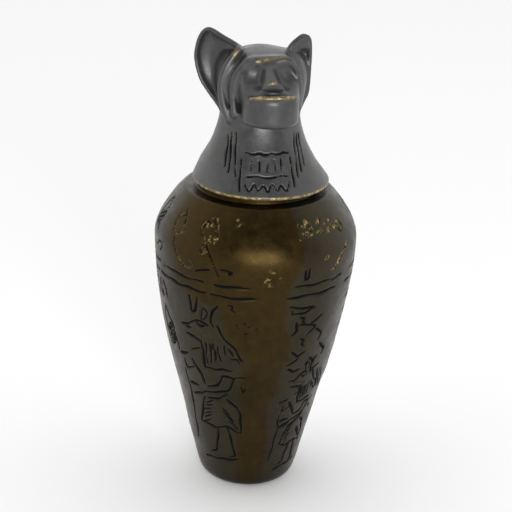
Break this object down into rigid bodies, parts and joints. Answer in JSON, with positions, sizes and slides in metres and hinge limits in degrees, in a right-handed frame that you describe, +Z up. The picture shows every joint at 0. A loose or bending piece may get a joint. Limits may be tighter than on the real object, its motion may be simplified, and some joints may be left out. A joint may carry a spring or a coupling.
{
  "type": "canopic jar",
  "caption": "Small cast bronze canopic jar with engraved sides and a loose lid in the form of an animal's head.",
  "frame": {"origin": "middle of the jar's flat underside, where it rests", "axes": "+Z up along the jar's axis, -Y the way the face on the lid looks, +X to the viewer's right when facing the face"},
  "size_m": [0.062, 0.0622, 0.145],
  "materials": {
    "jar_bronze": "satin",
    "lid_bronze": "satin"
  },
  "bodies": {
    "root": {"jar": "jar_bronze", "lid": "lid_bronze"}
  },
  "joints": []
}
